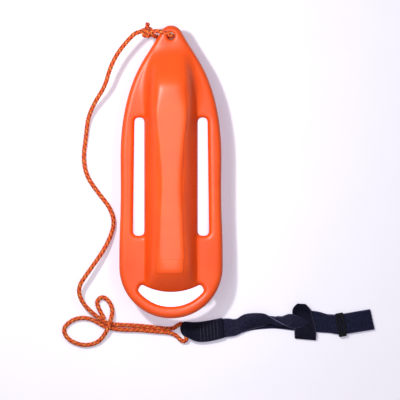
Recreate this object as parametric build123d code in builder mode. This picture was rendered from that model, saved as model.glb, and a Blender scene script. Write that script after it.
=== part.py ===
"""Torpedo rescue tube with its tow line and shoulder strap.

Row frame, millimetres: the hull lies on the flat of its underside, +Z up, +Y towards the nose.
The origin is the middle of that flat.
"""

from build123d import *
import math
import os

# ---- hull ----
HULL_LENGTH = 720.0
HULL_HEIGHT = 136.0
MID = HULL_HEIGHT / 2  # height of the rim's middle plane
WALL = 3.5
RIM_HALF = 14.0  # half the thickness of the rim, webs and grips
RIM_ROUND = 12.0

NOSE_R = 28.0
TAIL_R = 127.0
NOSE_Y = HULL_LENGTH / 2 - NOSE_R
TAIL_Y = -HULL_LENGTH / 2 + TAIL_R
SHEER = [(68, 275), (107.5, 177), (121.8, 92), (123, -60)]  # the flank between the two round ends
NOSE_TURN = 62.0  # degrees of nose arc each side of the tip

SLOT_FRONT = 134.0
SLOT_BACK = -157.0
SLOT_INNER = 65.5
SLOT_OUTER_FRONT = 90.0
SLOT_OUTER_BACK = 94.0
SLOT_CORNER = 10.0

HAND_SPAN = 78.0  # half the width of the tail grip's opening
HAND_FRONT = -295.0
HAND_BACK = -332.0
HAND_CORNER = 7.0

EYE_Y = 334.0
EYE_R = 10.0
EYE_ROUND = 3.0

# station along the hull, half widths of the flat, of the shoulder and of the side
STATIONS = [
    (303, 12, 24, 34),
    (246, 26, 41, 52),
    (214, 32, 48, 58),
    (140, 38, 49, 63),
    (50, 29, 44, 63),
    (-37, 24, 42, 63),
    (-150, 29, 44, 63),
    (-246, 34, 48, 63),
    (-297, 36, 50, 62),
]
SHOULDER_Z = 47.0
TRIM = 1.0  # the lofted crown stands this proud, and the side view cuts it to a true flat
FLAT_FRONT = 214.0
FLAT_BACK = -246.0
FLOAT_FRONT = 302.0
FLOAT_BACK = -295.0

# ---- plugs in the underside ----
FILL_Y = -190.0
FILL_R = 11.0
VENT_Y = 165.0
VENT_R = 5.0
PLUG_FLANGE = 3.0  # how much wider the head is than the shank
PLUG_HEAD = 2.0
PLUG_DEPTH = 14.0
PLUG_SINK = 0.6  # the head sits this far inside the flat
PLUG_GAP = 0.15

# ---- rope ----
ROPE_D = 10.0
KNOT = (-58, 343, 71)

NOSE_LOOP = [
    (-58, 343, 76), (-36, 348, 89), (-13, 342, 90), (3, 334.5, 86),
    (2, 334, 50), (-13, 332, 46), (-36, 330, 46), (-57, 342, 64),
]
KNOT_TAIL = [(-58, 345, 76), (-59, 356, 81), (-57, 366, 84)]
TOW_LINE = [
    (-58, 345, 70), (-81, 348, 72), (-107, 323, 71), (-133, 290, 68), (-151, 253, 62),
    (-162, 211, 50), (-187, 172, 33), (-204, 134, 14), (-209, 86, 5), (-216, 34, 5),
    (-208, -10, 5), (-181, -49, 5), (-151, -86, 5), (-138, -123, 5), (-150, -164, 12),
    (-172, -203, 22), (-203, -246, 30), (-230, -285, 30), (-219, -322, 22), (-189, -351, 17),
    (-172, -363, 12), (-155, -373, 7), (-133, -376, 5), (-98, -377, 5), (-61, -380, 5),
    (-27, -383.5, 5), (-2, -384.5, 6), (9, -381, 8), (17, -375, 10), (26, -373, 11),
    (31.5, -377, 11), (33, -385, 11), (38, -404.5, 11), (38.5, -412, 9), (33, -417, 7),
    (25, -415.5, 6), (16, -407, 5), (3, -400, 5), (-15, -396, 5), (-40, -394.5, 5),
    (-80, -390, 5), (-122, -388.5, 5), (-158, -383, 5), (-177, -372, 5),
    (-197, -361, 5), (-224, -358, 5), (-250, -368, 5), (-267, -389, 5), (-251, -415, 5),
    (-214, -428, 5), (-182, -421, 5), (-167, -406, 9), (-158, -391, 17), (-148, -365, 18),
    (-143, -342, 9), (-149, -322, 5), (-165, -306, 5), (-181, -313, 5), (-182, -331, 5),
    (-169, -353, 6),
]

# ---- strap ----
WEB_THICK = 2.4
EYE_A = Vector(33, -385, 11)  # the straight of rope that the strap's end eye turns on
EYE_B = Vector(38, -404.5, 11)
EYE_INNER = 7.6
EYE_WIDTH = 22.0
EYE_NECK = 17.0
EYE_CLEAR = 50.0  # how far past its middle the rope's space is kept open

# plan outlines of the lying webbing, from the sewn end eye to the far fold
SEWN = [(46, -367), (74, -367), (130, -358), (130, -409), (75, -419), (50, -413), (44, -404)]
SEWN_Z = (2.0, 14.0)
LEGS = [
    (129, -358), (158, -361), (188, -348), (231, -347), (268, -355), (297, -347),
    (297, -386), (265, -385), (190, -391), (158, -404), (129, -409),
]
LEGS_Z = (0.0, 15.0)
CROSSING = [(296, -347), (362, -343), (362, -394), (296, -386)]
CROSSING_Z = (2.8, 15.6)
NEAR_FLAT = [(361, -342), (386, -350), (400, -350), (406, -401), (390, -396), (361, -395)]
NEAR_FLAT_Z = (0.0, 7.2)
FLAT_REST = (418, -376)  # middle of the slider at rest
FLAT_END = (497, -362)
FLAT_LEAD = 16.0
FLAT_WIDTH = 52.0
FLAT_Z = (2.0, 7.2)

KEEPER_X = (303.0, 357.0)
KEEPER_Y = (-415.0, -324.0)
KEEPER_HEIGHT = 18.4
KEEPER_ROUND = 4.0

STITCH_X = [84, 92, 100, 108, 116]
STITCH_SPAN = (-408, -370)
STITCH_THICK = 0.5

# ---- slider ----
SLIDER_LENGTH = 59.0
SLIDER_WIDTH = 20.0
SLIDER_Z = (0.4, 9.4)
SLIDER_TUNNEL = (53.2, 1.6, 7.7)
SLIDER_WINDOW = (44.0, 4.2)
SLIDER_PITCH = 7.0


def save(piece, name):
    """Label one finished piece and write it."""
    piece.part.label = name
    export_step(piece.part, f"parts/{name}.step")


def rim_outline(inset):
    """Plan of the rim with the three grip openings, drawn in by inset."""
    turn = math.radians(NOSE_TURN)
    lead = Vector(math.cos(turn), -math.sin(turn))
    side = Vector(NOSE_R * math.sin(turn), NOSE_Y + NOSE_R * math.cos(turn))
    flank = Spline(side, *SHEER, (TAIL_R, TAIL_Y), tangents=(lead, (0, -1)), mode=Mode.PRIVATE)
    drawn_in = []
    for step in range(7):
        run = flank % (step / 6)
        drawn_in.append(flank @ (step / 6) + Vector(run.Y, -run.X) * inset)
    nose_r = NOSE_R - inset
    tail_r = TAIL_R - inset
    nose_mid = Vector(nose_r * math.sin(turn / 2), NOSE_Y + nose_r * math.cos(turn / 2))
    tail_mid = Vector(tail_r * math.sin(math.pi / 4), TAIL_Y - tail_r * math.cos(math.pi / 4))
    with BuildSketch() as plan:
        with BuildLine() as half:
            ThreePointArc((0, NOSE_Y + nose_r), nose_mid, drawn_in[0])
            Spline(*drawn_in, tangents=(lead, (0, -1)))
            ThreePointArc(drawn_in[-1], tail_mid, (0, TAIL_Y - tail_r))
            mirror(half.line, about=Plane.YZ)
        make_face()
        with BuildSketch(mode=Mode.SUBTRACT) as slot:
            with BuildLine():
                Polyline(
                    (SLOT_INNER - inset, SLOT_FRONT + inset),
                    (SLOT_OUTER_FRONT + inset, SLOT_FRONT + inset),
                    (SLOT_OUTER_BACK + inset, SLOT_BACK - inset),
                    (SLOT_INNER - inset, SLOT_BACK - inset),
                    close=True,
                )
            make_face()
            fillet(slot.vertices(), SLOT_CORNER + inset)
            mirror(about=Plane.YZ)
        add(hand_opening(inset), mode=Mode.SUBTRACT)
    return plan.sketch


def hand_opening(grow):
    """Crescent behind the float, the tail grip's finger gap, widened by grow."""
    front_x = HAND_SPAN - 4 + grow
    back_x = HAND_SPAN + 4 + grow
    front_y = HAND_FRONT + 20 + grow
    back_y = HAND_FRONT + 3 - grow / 2
    with BuildSketch() as crescent:
        with BuildLine():
            ThreePointArc((-front_x, front_y), (0, HAND_FRONT + grow), (front_x, front_y))
            ThreePointArc((-back_x, back_y), (0, HAND_BACK - grow), (back_x, back_y))
            Line((-front_x, front_y), (-back_x, back_y))
            Line((front_x, front_y), (back_x, back_y))
        make_face()
        fillet(crescent.vertices(), HAND_CORNER + grow / 2)
    return crescent.sketch


def float_section(station, inset):
    """One cross-section of the float: flat, shoulder and side, the same above and below."""
    y, flat, shoulder, side = station
    top = MID - inset + TRIM
    with BuildSketch(Plane(origin=(0, y, MID), x_dir=(1, 0, 0), z_dir=(0, 1, 0))) as section:
        with BuildLine() as quarter:
            Polyline(
                (0, top),
                (flat - inset / 2, top),
                (shoulder - inset, SHOULDER_Z - inset / 2),
                (side - inset, RIM_HALF),
                (side + 1 - inset, 0),
            )
            mirror(quarter.line, about=Plane.XZ)
            mirror(about=Plane.YZ)
        make_face()
    return section.sketch


def hull_form(inset):
    """The whole closed form of the hull, drawn in by inset on every face."""
    sections = [float_section(station, inset) for station in STATIONS]
    plan = rim_outline(inset)
    hand_gap = hand_opening(inset)
    half = RIM_HALF - inset
    top = MID - inset
    with BuildPart() as barrel:
        add(sections)
        loft()
    with BuildPart() as side_view:
        with BuildSketch(Plane.YZ.offset(-HULL_LENGTH / 2)):
            with BuildLine() as upper:
                Polyline(
                    (FLOAT_BACK + inset, MID),
                    (FLOAT_BACK + inset, MID + half),
                    (FLAT_BACK + inset / 2, MID + top),
                    (FLAT_FRONT - inset / 2, MID + top),
                    (FLOAT_FRONT - inset, MID + half),
                    (FLOAT_FRONT - inset, MID),
                )
                mirror(upper.line, about=Plane.XZ.offset(-MID))
            make_face()
        extrude(amount=HULL_LENGTH)
    with BuildPart() as form:
        with BuildSketch(Plane.XY.offset(MID - half)):
            add(plan)
        extrude(amount=2 * half)
        fillet(form.faces().filter_by(Axis.Z).edges(), RIM_ROUND - inset)
        add(barrel.part & side_view.part)
        with BuildSketch(Plane.XY.offset(-1)):
            add(hand_gap)
        extrude(amount=HULL_HEIGHT + 2, mode=Mode.SUBTRACT)
        with Locations((0, EYE_Y, MID)):
            Cylinder(EYE_R + inset, HULL_HEIGHT, mode=Mode.SUBTRACT)
    return form.part


def plug_space(y, radius, gap):
    """The stepped space of a plug: a wide sunk head and a narrower shank above it."""
    with BuildPart() as space:
        with Locations((0, y, 0)):
            Cylinder(radius + PLUG_FLANGE + gap, PLUG_SINK + PLUG_HEAD + gap,
                     align=(Align.CENTER, Align.CENTER, Align.MIN))
            Cylinder(radius + gap, PLUG_DEPTH + gap, align=(Align.CENTER, Align.CENTER, Align.MIN))
    return space.part


def plug(y, radius, slot_width):
    """A push-in plug with a slotted head, sunk just inside the flat."""
    solid = plug_space(y, radius, 0)
    with BuildPart() as body:
        add(solid)
        with Locations((0, y, 0)):
            Cylinder(radius + PLUG_FLANGE + 1, PLUG_SINK, align=(Align.CENTER, Align.CENTER, Align.MIN),
                     mode=Mode.SUBTRACT)
            Box(radius * 1.4, slot_width, PLUG_SINK + 1.2, align=(Align.CENTER, Align.CENTER, Align.MIN),
                mode=Mode.SUBTRACT)
    return body


def route_radii(points):
    """Corner radii for a soft run of rope: each arc as large as its two runs allow."""
    radii = []
    for before, corner, after in zip(points, points[1:], points[2:]):
        run_in = Vector(*corner) - Vector(*before)
        run_out = Vector(*after) - Vector(*corner)
        half_turn = math.radians(run_in.get_angle(run_out)) / 2
        radii.append(0.45 * min(run_in.length, run_out.length) / math.tan(half_turn))
    return radii


def rope(points, name):
    """A round tube along straight runs and tangent arcs; prints its arcs, length and volume."""
    radii = route_radii(points)
    with BuildPart() as tube:
        with BuildLine() as path:
            FilletPolyline(*points, radius=radii)
        with BuildSketch(Plane(origin=path.wire() @ 0, z_dir=path.wire() % 0)):
            Circle(ROPE_D / 2)
        sweep()
    length = path.wire().length
    ratio = tube.part.volume / (length * math.pi * ROPE_D**2 / 4)
    print(name, "length", round(length), "radii", [round(r) for r in radii], "volume ratio", round(ratio, 4))
    return tube


def strap_slab(outline, heights):
    """A flat stack of webbing with the plan outline given."""
    low, high = heights
    with BuildPart() as slab:
        with BuildSketch(Plane.XY.offset(low)):
            with BuildLine():
                Polyline(*outline, close=True)
            make_face()
        extrude(amount=high - low)
    return slab.part


def flat_frame():
    """Plane of the strap's flat end: local X runs towards the far fold."""
    run = Vector(*FLAT_END) - Vector(*FLAT_REST)
    return Plane(origin=(*FLAT_REST, 0), x_dir=(run.X, run.Y, 0), z_dir=(0, 0, 1)), run.length


os.makedirs("parts", exist_ok=True)

# ---- hull shell, foam core and plugs ----
outer_form = hull_form(0)
inner_form = hull_form(WALL)
fill_space = plug_space(FILL_Y, FILL_R, PLUG_GAP)
vent_space = plug_space(VENT_Y, VENT_R, PLUG_GAP)

with BuildPart() as hull_shell:
    add(outer_form)
    hole_edges = hull_shell.edges().filter_by(GeomType.CIRCLE)
    hole_edges = hole_edges.filter_by(lambda e: abs(e.arc_center.Y - EYE_Y) < 0.1 and abs(e.radius - EYE_R) < 0.1)
    fillet(hole_edges, EYE_ROUND)
    add(inner_form, mode=Mode.SUBTRACT)
    add([fill_space, vent_space], mode=Mode.SUBTRACT)
save(hull_shell, "hull_shell")

with BuildPart() as foam_core:
    add(inner_form)
    add([fill_space, vent_space], mode=Mode.SUBTRACT)
save(foam_core, "foam_core")

fill_plug = plug(FILL_Y, FILL_R, 3)
save(fill_plug, "fill_plug")
vent_plug = plug(VENT_Y, VENT_R, 1.6)
save(vent_plug, "vent_plug")

# ---- rope ----
save(rope(NOSE_LOOP, "nose_loop"), "nose_loop")
save(rope(KNOT_TAIL, "knot_tail"), "knot_tail")
save(rope(TOW_LINE, "tow_line"), "tow_line")

with BuildPart() as nose_knot:
    with Locations(KNOT):
        Sphere(ROPE_D * 1.25)
save(nose_knot, "nose_knot")

# ---- strap ----
eye_middle = (EYE_A + EYE_B) * 0.5
eye_run = (EYE_B - EYE_A).normalized()
eye_plane = Plane(origin=eye_middle, x_dir=(-eye_run.Y, eye_run.X, 0), z_dir=(eye_run.X, eye_run.Y, 0))
flat_plane, flat_reach = flat_frame()
slabs = [strap_slab(SEWN, SEWN_Z), strap_slab(LEGS, LEGS_Z)]
slabs += [strap_slab(CROSSING, CROSSING_Z), strap_slab(NEAR_FLAT, NEAR_FLAT_Z)]

with BuildPart() as shoulder_strap:
    with BuildSketch(eye_plane):
        Circle(EYE_INNER + WEB_THICK)
        with Locations((EYE_NECK / 2, 0)):
            Rectangle(EYE_NECK, 2 * WEB_THICK + 4)
    extrude(amount=EYE_WIDTH / 2, both=True)
    add(slabs)
    with BuildSketch(flat_plane.offset(FLAT_Z[0])):
        with Locations(((flat_reach - FLAT_LEAD) / 2, 0)):
            Rectangle(flat_reach + FLAT_LEAD, FLAT_WIDTH)
    extrude(amount=FLAT_Z[1] - FLAT_Z[0])
    with BuildSketch(eye_plane):
        Circle(EYE_INNER)
    extrude(amount=EYE_CLEAR, both=True, mode=Mode.SUBTRACT)
save(shoulder_strap, "shoulder_strap")

with BuildPart() as strap_stitching:
    for x in STITCH_X:
        with Locations((x, sum(STITCH_SPAN) / 2, SEWN_Z[1])):
            Box(1.6, STITCH_SPAN[1] - STITCH_SPAN[0], STITCH_THICK, align=(Align.CENTER, Align.CENTER, Align.MIN))
save(strap_stitching, "strap_stitching")

with BuildPart() as strap_keeper:
    with BuildSketch(Plane.YZ.offset(KEEPER_X[0])):
        with Locations((sum(KEEPER_Y) / 2, KEEPER_HEIGHT / 2)):
            RectangleRounded(KEEPER_Y[1] - KEEPER_Y[0], KEEPER_HEIGHT, KEEPER_ROUND)
        offset(amount=-WEB_THICK, mode=Mode.SUBTRACT)
    extrude(amount=KEEPER_X[1] - KEEPER_X[0])
save(strap_keeper, "strap_keeper")

# ---- slider ----
with BuildPart() as strap_slider:
    with BuildSketch(flat_plane.offset(SLIDER_Z[0])):
        RectangleRounded(SLIDER_WIDTH, SLIDER_LENGTH, 3)
    extrude(amount=SLIDER_Z[1] - SLIDER_Z[0])
    with BuildSketch(flat_plane.offset(SLIDER_TUNNEL[1])):
        Rectangle(SLIDER_WIDTH + 2, SLIDER_TUNNEL[0])
    extrude(amount=SLIDER_TUNNEL[2] - SLIDER_TUNNEL[1], mode=Mode.SUBTRACT)
    with BuildSketch(flat_plane.offset(SLIDER_TUNNEL[2] - 1)):
        with Locations((-SLIDER_PITCH / 2, 0), (SLIDER_PITCH / 2, 0)):
            Rectangle(SLIDER_WINDOW[1], SLIDER_WINDOW[0])
    extrude(amount=SLIDER_Z[1], mode=Mode.SUBTRACT)
save(strap_slider, "strap_slider")
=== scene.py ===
import math

import bmesh
import bpy
from mathutils import Matrix, Vector


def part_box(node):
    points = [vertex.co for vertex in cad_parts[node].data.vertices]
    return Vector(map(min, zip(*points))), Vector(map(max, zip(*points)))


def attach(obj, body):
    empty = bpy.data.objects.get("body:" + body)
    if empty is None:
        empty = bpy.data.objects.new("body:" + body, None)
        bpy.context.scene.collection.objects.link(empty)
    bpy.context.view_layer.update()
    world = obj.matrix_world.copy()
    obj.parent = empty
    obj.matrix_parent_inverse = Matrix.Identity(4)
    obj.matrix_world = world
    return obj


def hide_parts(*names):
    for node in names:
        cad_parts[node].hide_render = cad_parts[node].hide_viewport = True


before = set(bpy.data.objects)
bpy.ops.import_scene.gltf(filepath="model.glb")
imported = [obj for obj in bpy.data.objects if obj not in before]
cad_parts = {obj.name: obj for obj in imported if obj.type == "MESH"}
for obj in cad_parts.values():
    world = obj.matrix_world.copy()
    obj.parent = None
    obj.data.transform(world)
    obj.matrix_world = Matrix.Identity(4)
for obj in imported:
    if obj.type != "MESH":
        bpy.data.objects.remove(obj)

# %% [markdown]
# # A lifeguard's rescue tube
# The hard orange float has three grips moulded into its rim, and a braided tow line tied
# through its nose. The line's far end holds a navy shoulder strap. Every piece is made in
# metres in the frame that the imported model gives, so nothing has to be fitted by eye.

scene = bpy.context.scene
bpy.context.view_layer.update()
MM = 0.001

# %% [markdown]
# ## The camera
# The float is seen straight from above and from far off, so its sides don't lean. A camera
# without perspective gives that view, and its scale is the width of floor that it takes in.

# %% Camera above the float
VIEW_WIDTH = 0.9836
VIEW_CENTRE = Vector((0.0713, -0.0691, 0))

camera_data = bpy.data.cameras.new("camera_above")
camera_data.type = "ORTHO"
camera_data.ortho_scale = VIEW_WIDTH
camera = bpy.data.objects.new("camera_above", camera_data)
camera.location = VIEW_CENTRE + Vector((0, 0, 2))
scene.collection.objects.link(camera)
scene.camera = camera
print("camera takes in", VIEW_WIDTH, "m")

# %% [markdown]
# ## Colours and shader nodes
# Colours are picked as the eye sees them, in sRGB, and the renderer works in linear light,
# so one function turns each hex value. A second small function adds a node, sets it up and
# links it, which keeps a long material readable as a short list.


# %% Colour and node helpers
def linear(hex_colour):
    """RGBA in linear light of an sRGB hex colour."""
    channels = [int(hex_colour[i : i + 2], 16) / 255 for i in (1, 3, 5)]
    turned = [c / 12.92 if c <= 0.04045 else ((c + 0.055) / 1.055) ** 2.4 for c in channels]
    return (*turned, 1)


def add_node(tree, kind, settings=None, links=None):
    """Add one node: settings are its properties and socket values, links its linked sockets."""
    node = tree.nodes.new(kind)
    for key, value in (settings or {}).items():
        if isinstance(key, str) and hasattr(node, key):
            setattr(node, key, value)
        else:
            node.inputs[key].default_value = value
    for key, output in (links or {}).items():
        tree.links.new(output, node.inputs[key])
    return node


def new_material(name, constants):
    """A material with one principled shader that has these constants on its sockets."""
    material = bpy.data.materials.new(name)
    material.use_nodes = True
    shader = material.node_tree.nodes["Principled BSDF"]
    for socket, value in constants.items():
        shader.inputs[socket].default_value = value
    return material, material.node_tree, shader


print("helpers ready")

# %% [markdown]
# ## Braided polypropylene
# The line is braided from split polypropylene film. The film is shiny along its length and
# each strand has its own shade, with yellow and brown ones among the
# orange. Four materials share one recipe, and a fine noise in each stands for the fibres.

# %% Rope materials
FIBRE_GRAIN = 2.6 * MM  # real film is near 0.3 mm, drawn coarser so that it shows


def rope_film(name, light, dark):
    """Shiny split film between two shades."""
    material, tree, shader = new_material(
        name, {"IOR": 1.49, "Sheen Weight": 0.04, "Sheen Roughness": 0.5}
    )
    place = add_node(tree, "ShaderNodeTexCoord")
    grain = add_node(
        tree,
        "ShaderNodeTexNoise",
        {"Scale": 1 / FIBRE_GRAIN, "Detail": 3.0, "Roughness": 0.6},
        {"Vector": place.outputs["Object"]},
    )
    shade = add_node(tree, "ShaderNodeValToRGB", links={"Fac": grain.outputs["Fac"]})
    shade.color_ramp.elements[0].position = 0.32
    shade.color_ramp.elements[0].color = linear(dark)
    shade.color_ramp.elements[1].position = 0.62
    shade.color_ramp.elements[1].color = linear(light)
    rough = add_node(
        tree,
        "ShaderNodeMapRange",
        {"To Min": 0.42, "To Max": 0.6},
        {"Value": grain.outputs["Fac"]},
    )
    bump = add_node(
        tree,
        "ShaderNodeBump",
        {"Strength": 0.5, "Distance": 0.3 * MM},
        {"Height": grain.outputs["Fac"]},
    )
    tree.links.new(shade.outputs["Color"], shader.inputs["Base Color"])
    tree.links.new(rough.outputs["Result"], shader.inputs["Roughness"])
    tree.links.new(bump.outputs["Normal"], shader.inputs["Normal"])
    return material


orange_film = rope_film("braided_polypropylene_orange", "#FF7424", "#C8360A")
yellow_film = rope_film("braided_polypropylene_yellow", "#FFAE55", "#E0641A")
brown_film = rope_film("braided_polypropylene_brown", "#A8280C", "#4E0E04")
melted_film = rope_film("melted_polypropylene", "#C22A12", "#8E1D0C")
print("rope materials", orange_film.name, yellow_film.name, brown_film.name, melted_film.name)

# %% [markdown]
# ## The line of a rope
# A rope lies in smooth curves, so its route is a NURBS spline through a few given points.
# The spline without any thickness turns into a mesh of points, which give the line
# that strands wind round. Each point then carries two directions square to the rope, turned
# as little as possible from one point to the next, so the braid doesn't twist on its own.


# %% Rope line helpers
def rope_line(route):
    """Points along the smooth line of a rope, from its route in metres."""
    curve = bpy.data.curves.new("rope_line", "CURVE")
    curve.dimensions = "3D"
    curve.resolution_u = 16
    spline = curve.splines.new("NURBS")
    spline.points.add(len(route) - 1)
    for point, place in zip(spline.points, route):
        point.co = (*place, 1)
    spline.order_u = 3
    spline.use_endpoint_u = True
    holder = bpy.data.objects.new("rope_line", curve)
    line = [vertex.co.copy() for vertex in bpy.data.meshes.new_from_object(holder).vertices]
    bpy.data.objects.remove(holder)
    return line


def line_length(line):
    """Length along a list of points."""
    return sum((b - a).length for a, b in zip(line, line[1:]))


def even_frames(line, step):
    """Evenly spaced places along a line, each with two directions square to it."""
    count = max(2, round(line_length(line) / step))
    spacing = line_length(line) / count
    places = [line[0].copy()]
    walked = 0.0
    for a, b in zip(line, line[1:]):
        run = (b - a).length
        while len(places) * spacing <= walked + run + 1e-9 and len(places) <= count:
            places.append(a.lerp(b, (len(places) * spacing - walked) / max(run, 1e-9)))
        walked += run
    frames = []
    side = Vector((0, 0, 1))
    for index, place in enumerate(places):
        before = places[max(index - 1, 0)]
        after = places[min(index + 1, len(places) - 1)]
        ahead = (after - before).normalized()
        side = (side - ahead * side.dot(ahead)).normalized()
        frames.append((place, side, ahead.cross(side)))
    return frames, spacing


print("rope helpers ready")

# %% [markdown]
# ## A diamond braid
# Four strands wind one way and four the other, and each goes over one and under the next.
# A strand could be a texture, but the edge of a real braid is notched, so the strands are
# real ones: round tubes on curves, a little further out where they pass over. A core fills
# the middle, so that no floor shows between them; its dark film is painted shade in the gaps.

# %% Braid
STRANDS = 4  # each way
BRAID_LAY = 25 * MM  # length of one full turn of a strand
BRAID_RADIUS = 3.4 * MM
OVER_UNDER = 1.2 * MM
STRAND_RADIUS = 1.75 * MM
CORE_RADIUS = 3.5 * MM
STEPS_A_TURN = 14


def braid(name, line, films):
    """A braided rope along a line, with its strands in films' order."""
    frames, spacing = even_frames(line, BRAID_LAY / STEPS_A_TURN)
    curve = bpy.data.curves.new(name, "CURVE")
    curve.dimensions = "3D"
    curve.bevel_depth = STRAND_RADIUS
    curve.bevel_resolution = 1
    curve.use_fill_caps = True
    kinds = list(dict.fromkeys(films))
    for film in kinds:
        curve.materials.append(film)
    for number in range(2 * STRANDS):
        hand = 1 if number < STRANDS else -1
        start = 2 * math.pi * number / STRANDS
        spline = curve.splines.new("POLY")
        spline.points.add(len(frames) - 1)
        for index, (place, side, across) in enumerate(frames):
            turned = 2 * math.pi * index * spacing / BRAID_LAY
            reach = BRAID_RADIUS + hand * OVER_UNDER * math.cos(STRANDS * turned)
            angle = start + hand * turned
            spot = place + side * math.cos(angle) * reach + across * math.sin(angle) * reach
            spline.points[index].co = (*spot, 1)
        spline.material_index = kinds.index(films[number % len(films)])
        spline.use_smooth = True
    core = curve.splines.new("POLY")
    core.points.add(len(frames) - 1)
    for point, (place, _, _) in zip(core.points, frames):
        point.co = (*place, 1)
        point.radius = CORE_RADIUS / STRAND_RADIUS
    # the core takes the list's last, dark film: painted shade between the strands
    core.material_index = len(kinds) - 1
    core.use_smooth = True
    holder = bpy.data.objects.new(name, curve)
    mesh = bpy.data.meshes.new_from_object(holder)
    bpy.data.objects.remove(holder)
    mesh.name = name
    rope = bpy.data.objects.new(name, mesh)
    scene.collection.objects.link(rope)
    print(name, "is", round(line_length(line), 3), "m long with", len(mesh.polygons), "faces")
    return rope


def hand_over(piece, node, body):
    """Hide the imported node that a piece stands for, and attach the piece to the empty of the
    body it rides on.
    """
    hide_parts(node)
    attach(piece, body)


MIXED_FILMS = [
    orange_film, orange_film, yellow_film, orange_film,
    orange_film, brown_film, orange_film, brown_film,
]

# %% [markdown]
# ## The tow line
# The line leaves the knot at the nose, comes down to the floor, and runs along the float's
# left side to a loose tangle. From there one strand goes out to the strap's end eye and
# comes back beside itself, and the free end makes two open loops.

# %% Tow line
TOW_LINE = [
    (-0.058, 0.345, 0.070), (-0.081, 0.348, 0.072), (-0.107, 0.323, 0.071),
    (-0.133, 0.290, 0.068), (-0.151, 0.253, 0.062), (-0.162, 0.211, 0.050),
    (-0.187, 0.172, 0.033), (-0.204, 0.134, 0.014), (-0.209, 0.086, 0.006),
    (-0.216, 0.034, 0.006), (-0.208, -0.010, 0.006), (-0.181, -0.049, 0.006),
    (-0.151, -0.086, 0.006), (-0.138, -0.123, 0.006), (-0.150, -0.164, 0.012),
    (-0.172, -0.203, 0.022), (-0.203, -0.246, 0.030), (-0.230, -0.285, 0.030),
    (-0.219, -0.322, 0.022), (-0.189, -0.351, 0.017), (-0.172, -0.363, 0.012),
    (-0.155, -0.373, 0.007), (-0.133, -0.376, 0.006), (-0.098, -0.377, 0.006),
    (-0.061, -0.380, 0.006), (-0.027, -0.384, 0.006), (-0.002, -0.3865, 0.006),
    (0.009, -0.383, 0.008), (0.0175, -0.376, 0.010), (0.026, -0.373, 0.011),
    (0.0315, -0.377, 0.011), (0.033, -0.385, 0.011), (0.038, -0.4045, 0.011),
    (0.0385, -0.412, 0.009), (0.033, -0.417, 0.007), (0.025, -0.4155, 0.006),
    (0.016, -0.4045, 0.006), (0.003, -0.397, 0.006), (-0.015, -0.394, 0.006),
    (-0.040, -0.3925, 0.006), (-0.080, -0.3885, 0.006),
    (-0.122, -0.3885, 0.006), (-0.158, -0.383, 0.006), (-0.177, -0.372, 0.006),
    (-0.197, -0.361, 0.006), (-0.224, -0.358, 0.006), (-0.250, -0.368, 0.006),
    (-0.267, -0.389, 0.006), (-0.251, -0.415, 0.006), (-0.214, -0.428, 0.006),
    (-0.182, -0.421, 0.006), (-0.167, -0.406, 0.009), (-0.158, -0.391, 0.017),
    (-0.148, -0.365, 0.018), (-0.143, -0.342, 0.009), (-0.149, -0.322, 0.006),
    (-0.165, -0.306, 0.006), (-0.181, -0.313, 0.006), (-0.182, -0.331, 0.006),
    (-0.164, -0.361, 0.006),
]
tow_path = rope_line([Vector(point) for point in TOW_LINE])
tow_line = braid("tow_line_braid", tow_path, MIXED_FILMS)
hand_over(tow_line, "tow_line", "line")

# %% [markdown]
# ## The loop through the nose
# A short length of the same rope goes through the eye in the float's nose and back to the
# knot. It is cut from the same braid, so it uses the same function with its own route.

# %% Nose loop and the cut tail
NOSE_LOOP = [
    (-0.058, 0.343, 0.076), (-0.036, 0.348, 0.089), (-0.013, 0.342, 0.090),
    (0.003, 0.3345, 0.086), (0.002, 0.334, 0.050), (-0.013, 0.332, 0.046),
    (-0.036, 0.330, 0.046), (-0.057, 0.342, 0.064),
]
KNOT_TAIL = [(-0.058, 0.345, 0.076), (-0.059, 0.356, 0.081), (-0.057, 0.366, 0.084)]

nose_path = rope_line([Vector(point) for point in NOSE_LOOP])
nose_loop = braid("nose_loop_braid", nose_path, MIXED_FILMS)
hand_over(nose_loop, "nose_loop", "line")

tail_path = rope_line([Vector(point) for point in KNOT_TAIL])
knot_tail = braid("knot_tail_braid", tail_path, [orange_film, melted_film])
hand_over(knot_tail, "knot_tail", "line")

# %% [markdown]
# ## The knot
# The rope is tied back on itself with a few tight turns, a lump a little over two ropes
# wide. A knot can be traced strand by strand, but its turns are a short coil seen from
# outside, so the braid follows a helix of two and a half turns, wider at its middle.

# %% Nose knot
KNOT_CENTRE = Vector((-58, 343, 71)) * MM
KNOT_TURNS = 2.5
KNOT_SPAN = 24 * MM
KNOT_END = 5.5 * MM  # radius of the coil's ends
KNOT_BULGE = 4.2 * MM  # and what its middle has more
POINTS_A_TURN = 12

knot_route = []
for step in range(round(KNOT_TURNS * POINTS_A_TURN) + 1):
    share = step / (KNOT_TURNS * POINTS_A_TURN)
    angle = 2 * math.pi * KNOT_TURNS * share
    width = KNOT_END + KNOT_BULGE * math.sin(math.pi * share)
    offset = Vector((KNOT_SPAN * (share - 0.5), width * math.cos(angle), width * math.sin(angle)))
    knot_route.append(KNOT_CENTRE + offset)
nose_knot = braid("nose_knot_turns", rope_line(knot_route), MIXED_FILMS)
hand_over(nose_knot, "nose_knot", "line")
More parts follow.
